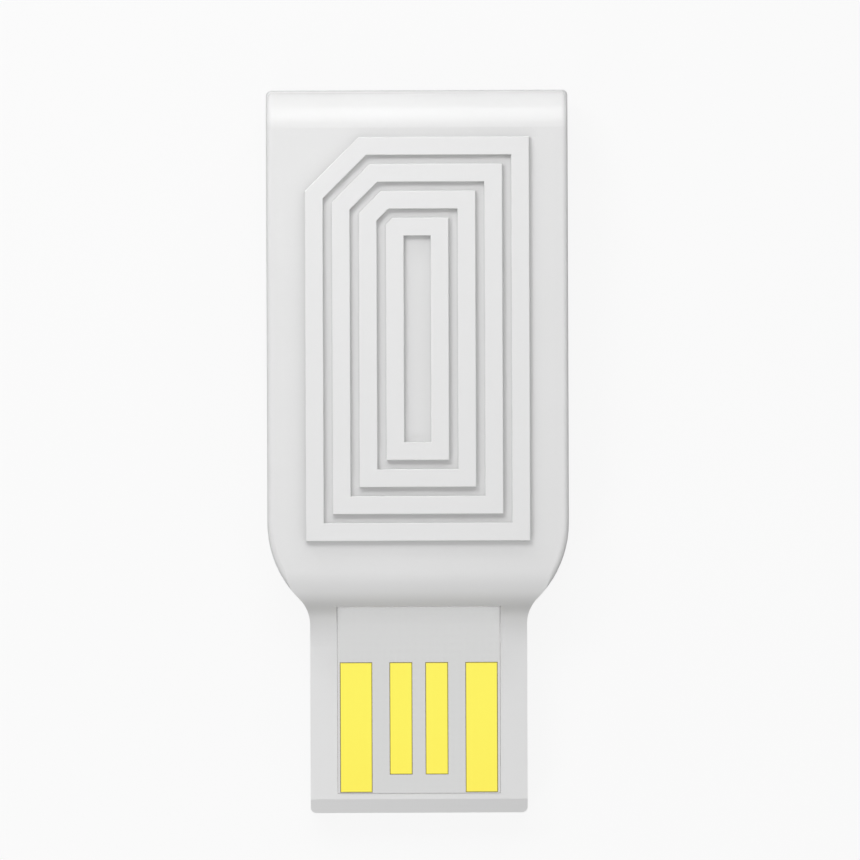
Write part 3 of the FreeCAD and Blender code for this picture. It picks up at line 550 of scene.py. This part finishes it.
def makeWorld(look):
    world = bpy.data.worlds.new("studio")
    scene.world = world
    tree = Tree(world)
    tree.nodes.clear()
    seen = seenByCamera(tree)[1]
    brightness = seen * look["backdrop"] + (1 - seen) * look["ambient"]
    background = tree.add("Background", None, {"Color": grey(1.0), "Strength": brightness})
    tree.add("OutputWorld", None, {"Surface": background})


makeFloor(studio)
makeWorld(studio)
print("floor and world are in")


# Lamps. Each has a stand, which gives its distance and size in metres, a turn from +X towards +Y and a
# height above the floor, both in degrees, and a strength.

closeStand = {"distance": 0.07, "width": 0.02, "length": 0.02}
nearStand = {"distance": 0.12, "width": 0.03, "length": 0.03}
nearPanel = {"distance": 0.12, "width": 0.10, "length": 0.05}
farStand = {"distance": 0.5, "width": 0.12, "length": 0.12}
softBox = {"distance": 0.5, "width": 0.4, "length": 0.2}
glossPanel = {"distance": 0.5, "width": 0.1, "length": 0.29}
glossStrip = {"distance": 0.5, "width": 0.1, "length": 0.12}

# These light the object and show in no reflection: the close and near ones light its ends more than its
# middle, and the soft box and the far ones light all of it alike.
lamps = {
    "endBox": (softBox, 90, 50, 0.150),
    "endClose": (closeStand, 112, 45, 0.125),
    "endLow": (nearStand, 90, 30, 0.041),
    "endHigh": (nearPanel, 90, 60, 0.068),
    "plugLow": (nearStand, 240, 30, 0.136),
    "plugHigh": (nearStand, 225, 60, 0.053),
    "leftLow": (farStand, 115, 15, 0.185),
    "leftHigh": (farStand, 135, 45, 0.115),
    "rightLow": (farStand, 62, 15, 0.095),
    "rightPlugLow": (farStand, 315, 30, 0.104),
    "rightPlugHigh": (farStand, 315, 45, 0.016),
}

# These are only mirrored: the bright band along the round end, crisp at its outer side and fading inwards.
mirroredLamps = {
    "endGloss": (glossPanel, 90, 41, 0.064),
    "endGlossHigh": (glossStrip, 90, 64, 0.017),
    "endGlossTop": (glossStrip, 90, 76, 0.006),
}

wattsAtOneMetre = 10.0     # power of a lamp of strength 1 that stands a metre away


def addLamp(name, stand, turn, height, strength, mirrored):
    direction = Vector((cos(radians(height)) * cos(radians(turn)),
                        cos(radians(height)) * sin(radians(turn)),
                        sin(radians(height))))
    lampData = bpy.data.lights.new(name, "AREA")
    lampData.shape = "RECTANGLE"
    lampData.size = stand["width"]
    lampData.size_y = stand["length"]
    lampData.energy = strength * wattsAtOneMetre * stand["distance"] ** 2
    lamp = bpy.data.objects.new(name, lampData)
    lamp.location = direction * stand["distance"]
    lamp.rotation_euler = direction.to_track_quat("Z", "Y").to_euler()
    lamp.visible_camera = False
    lamp.visible_glossy = mirrored
    lamp.visible_diffuse = not mirrored
    scene.collection.objects.link(lamp)


for lampName, settings in lamps.items():
    addLamp(lampName, *settings, mirrored=False)
for lampName, settings in mirroredLamps.items():
    addLamp(lampName, *settings, mirrored=True)
print("lamps are in")


# Camera, straight above the front, with a long lens and the slight turn of the photograph

cameraLook = {
    "viewWidth": 47.96 * mm,       # how much of the object's plane the picture takes in
    "distance": 1.5,
    "aim": (0.678 * mm, 1.196 * mm, 2.3 * mm),
    "roll": -0.0038,
    "sensorWidth": 36.0,           # in millimetres, as Blender gives it
    "clipStart": 0.01,
    "clipEnd": 10.0,
}


def makeCamera(look):
    cameraData = bpy.data.cameras.new("camera")
    cameraData.sensor_width = look["sensorWidth"]
    cameraData.lens = look["sensorWidth"] * look["distance"] / look["viewWidth"]
    cameraData.clip_start = look["clipStart"]
    cameraData.clip_end = look["clipEnd"]
    camera = bpy.data.objects.new("camera", cameraData)
    camera.location = Vector(look["aim"]) + Vector((0, 0, look["distance"]))
    camera.rotation_euler = (0, 0, look["roll"])
    scene.collection.objects.link(camera)
    scene.camera = camera


makeCamera(cameraLook)
print("camera is set")
